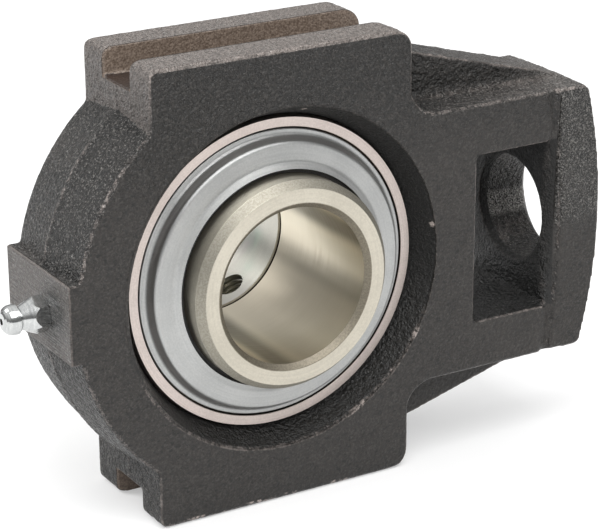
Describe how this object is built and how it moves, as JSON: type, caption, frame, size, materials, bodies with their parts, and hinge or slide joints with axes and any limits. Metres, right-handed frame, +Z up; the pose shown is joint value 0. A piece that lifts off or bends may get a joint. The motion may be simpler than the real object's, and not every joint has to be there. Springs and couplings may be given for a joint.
{
  "type": "tensioner bearing",
  "caption": "Cast take-up housing with guide slots top and bottom, a nut pocket and screw hole at one end, and a self-aligning ball bearing insert with a locking collar.",
  "frame": {"origin": "centre of the bearing, on the shaft's axis half way through the housing", "axes": "+X towards the adjusting screw's hole, +Y along the shaft to the collar side, +Z up through the top rail"},
  "size_m": [0.1436, 0.0517, 0.102],
  "materials": {
    "painted_cast_iron": "black paint over rough sand casting, bare where machined",
    "bearing_steel": "ground",
    "zinc_plated_steel": "bright zinc plate",
    "zinc_plated_sheet": "satin zinc plate",
    "seal_rubber": "matt",
    "cage_steel": "pressed sheet",
    "blackened_steel": "blackened"
  },
  "bodies": {
    "housing": {"take_up_housing": "painted_cast_iron", "nipple_body": "zinc_plated_steel", "nipple_spring": "zinc_plated_steel"},
    "check_ball": {"nipple_check_ball": "zinc_plated_steel"},
    "insert_outer": {"outer_ring": "bearing_steel", "front_shield": "zinc_plated_sheet", "front_seal_lip": "seal_rubber", "rear_shield": "zinc_plated_sheet", "rear_seal_lip": "seal_rubber"},
    "insert_inner": {"inner_ring": "bearing_steel"},
    "cage": {"cage_front_half": "cage_steel", "cage_rear_half": "cage_steel", "cage_rivets": "cage_steel"},
    "ball_1": {"ball_1": "bearing_steel"},
    "ball_2": {"ball_2": "bearing_steel"},
    "ball_3": {"ball_3": "bearing_steel"},
    "ball_4": {"ball_4": "bearing_steel"},
    "ball_5": {"ball_5": "bearing_steel"},
    "ball_6": {"ball_6": "bearing_steel"},
    "ball_7": {"ball_7": "bearing_steel"},
    "ball_8": {"ball_8": "bearing_steel"},
    "ball_9": {"ball_9": "bearing_steel"},
    "collar": {"locking_collar": "zinc_plated_steel"},
    "set_screw": {"collar_set_screw": "blackened_steel"}
  },
  "joints": [
    {"name": "self_align_tilt", "type": "hinge", "parent": "housing", "child": "insert_outer", "pos_m": [0, 0, 0], "axis": [0, 0, 1], "range_deg": [-2.5, 2.5]},
    {"name": "inner_ring_spin", "type": "hinge", "parent": "insert_outer", "child": "insert_inner", "pos_m": [0, 0, 0], "axis": [0, 1, 0], "continuous": true},
    {"name": "cage_spin", "type": "hinge", "parent": "insert_outer", "child": "cage", "pos_m": [0, 0, 0], "axis": [0, 1, 0], "continuous": true},
    {"name": "ball_1_roll", "type": "hinge", "parent": "cage", "child": "ball_1", "pos_m": [0.02675, 0, 0], "axis": [0, 1, 0], "continuous": true},
    {"name": "ball_2_roll", "type": "hinge", "parent": "cage", "child": "ball_2", "pos_m": [0.02049, 0, -0.01719], "axis": [0, 1, 0], "continuous": true},
    {"name": "ball_3_roll", "type": "hinge", "parent": "cage", "child": "ball_3", "pos_m": [0.00465, 0, -0.02634], "axis": [0, 1, 0], "continuous": true},
    {"name": "ball_4_roll", "type": "hinge", "parent": "cage", "child": "ball_4", "pos_m": [-0.01337, 0, -0.02317], "axis": [0, 1, 0], "continuous": true},
    {"name": "ball_5_roll", "type": "hinge", "parent": "cage", "child": "ball_5", "pos_m": [-0.02514, 0, -0.00915], "axis": [0, 1, 0], "continuous": true},
    {"name": "ball_6_roll", "type": "hinge", "parent": "cage", "child": "ball_6", "pos_m": [-0.02514, 0, 0.00915], "axis": [0, 1, 0], "continuous": true},
    {"name": "ball_7_roll", "type": "hinge", "parent": "cage", "child": "ball_7", "pos_m": [-0.01337, 0, 0.02317], "axis": [0, 1, 0], "continuous": true},
    {"name": "ball_8_roll", "type": "hinge", "parent": "cage", "child": "ball_8", "pos_m": [0.00465, 0, 0.02634], "axis": [0, 1, 0], "continuous": true},
    {"name": "ball_9_roll", "type": "hinge", "parent": "cage", "child": "ball_9", "pos_m": [0.02049, 0, 0.01719], "axis": [0, 1, 0], "continuous": true},
    {"name": "collar_lock_turn", "type": "hinge", "parent": "insert_inner", "child": "collar", "pos_m": [0, 0, 0], "axis": [0, 1, 0], "range_deg": [-20, 20]},
    {"name": "set_screw_travel", "type": "slide", "parent": "collar", "child": "set_screw", "axis": [-0.454, 0, 0.891], "range_m": [-0.001, 0.0044]},
    {"name": "check_ball_travel", "type": "slide", "parent": "housing", "child": "check_ball", "axis": [1, 0, 0], "range_m": [0, 0.0008], "stiffness_N_per_m": 400, "springref_m": -0.001, "deforming": ["nipple_spring"]}
  ],
  "couplings": [
    {"joint": "cage_spin", "follows": "inner_ring_spin", "ratio": 0.39615},
    {"joint": "ball_1_roll", "follows": "inner_ring_spin", "ratio": -2.3035},
    {"joint": "ball_2_roll", "follows": "inner_ring_spin", "ratio": -2.3035},
    {"joint": "ball_3_roll", "follows": "inner_ring_spin", "ratio": -2.3035},
    {"joint": "ball_4_roll", "follows": "inner_ring_spin", "ratio": -2.3035},
    {"joint": "ball_5_roll", "follows": "inner_ring_spin", "ratio": -2.3035},
    {"joint": "ball_6_roll", "follows": "inner_ring_spin", "ratio": -2.3035},
    {"joint": "ball_7_roll", "follows": "inner_ring_spin", "ratio": -2.3035},
    {"joint": "ball_8_roll", "follows": "inner_ring_spin", "ratio": -2.3035},
    {"joint": "ball_9_roll", "follows": "inner_ring_spin", "ratio": -2.3035}
  ]
}
